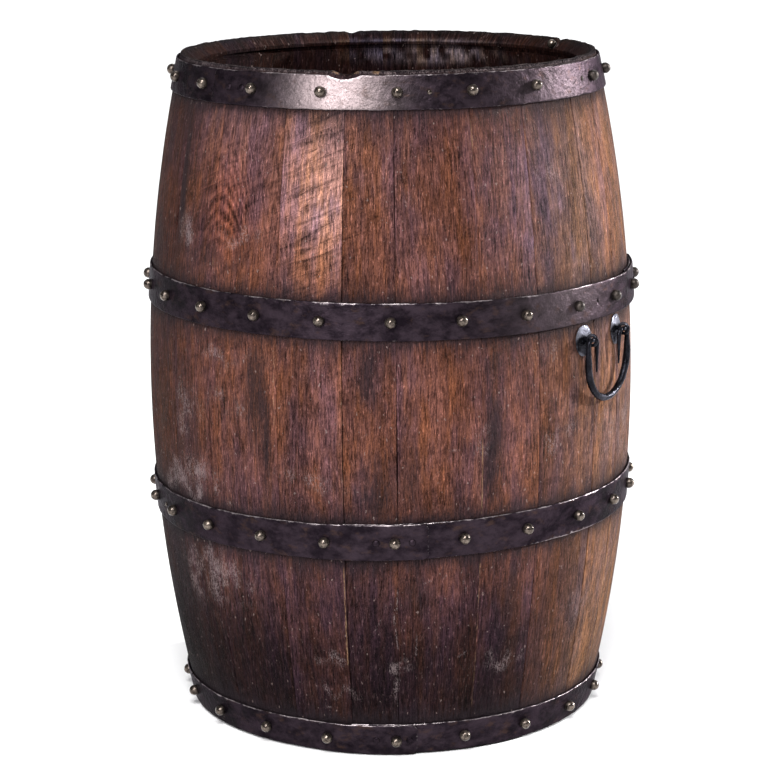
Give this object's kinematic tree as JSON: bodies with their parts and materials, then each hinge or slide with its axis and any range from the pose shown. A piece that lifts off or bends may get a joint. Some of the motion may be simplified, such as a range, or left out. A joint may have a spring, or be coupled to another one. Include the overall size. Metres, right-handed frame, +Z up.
{
  "type": "oak wine barrel",
  "caption": "Open-topped coopered oak wine barrel with riveted iron hoops, dome-headed nails, a boarded bottom head and drop handles.",
  "frame": {"origin": "centre of the bottom rim, on the barrel's axis", "axes": "+Z up along the barrel's axis; the pictured front faces -Y and +X is to its right"},
  "size_m": [0.721, 0.7212, 0.95],
  "materials": {
    "stave_oak": "old wine-stained oak, rubbed to a satin sheen, scuffed",
    "head_oak": "wine-stained oak, dull",
    "dowel_oak": "plain oak",
    "hoop_iron": "hammered wrought iron, dark brown-black, satin, worn at the edges",
    "nail_iron": "rubbed bronze-grey iron, satin",
    "handle_iron": "black forged iron, semi-gloss"
  },
  "bodies": {
    "barrel": {"stave_01": "stave_oak", "stave_02": "stave_oak", "stave_03": "stave_oak", "stave_04": "stave_oak", "stave_05": "stave_oak", "stave_06": "stave_oak", "stave_07": "stave_oak", "stave_08": "stave_oak", "stave_09": "stave_oak", "stave_10": "stave_oak", "stave_11": "stave_oak", "stave_12": "stave_oak", "stave_13": "stave_oak", "stave_14": "stave_oak", "stave_15": "stave_oak", "stave_16": "stave_oak", "stave_17": "stave_oak", "stave_18": "stave_oak", "stave_19": "stave_oak", "stave_20": "stave_oak", "stave_21": "stave_oak", "stave_22": "stave_oak", "stave_23": "stave_oak", "head_board_1": "head_oak", "head_board_2": "head_oak", "head_board_3": "head_oak", "head_board_4": "head_oak", "head_board_5": "head_oak", "head_board_6": "head_oak", "head_dowels": "dowel_oak", "hoop_bottom": "hoop_iron", "hoop_lower_bilge": "hoop_iron", "hoop_upper_bilge": "hoop_iron", "hoop_top": "hoop_iron", "nails_bottom_hoop": "nail_iron", "nails_lower_bilge_hoop": "nail_iron", "nails_upper_bilge_hoop": "nail_iron", "nails_top_hoop": "nail_iron", "lap_rivets": "hoop_iron", "hoop_tacks": "nail_iron", "rim_knob": "nail_iron", "handle_right_plates": "handle_iron", "handle_right_eyes": "handle_iron", "handle_left_plates": "handle_iron", "handle_left_eyes": "handle_iron"},
    "handle_right": {"handle_right_bail": "handle_iron"},
    "handle_left": {"handle_left_bail": "handle_iron"}
  },
  "joints": [
    {"name": "handle_right_swing", "type": "hinge", "parent": "barrel", "child": "handle_right", "pos_m": [0.30038, -0.19507, 0.573], "axis": [-0.5446, -0.8387, 0], "range_deg": [-1.5, 165]},
    {"name": "handle_left_swing", "type": "hinge", "parent": "barrel", "child": "handle_left", "pos_m": [-0.30038, 0.19507, 0.573], "axis": [0.5446, 0.8387, 0], "range_deg": [-1.5, 165]}
  ]
}
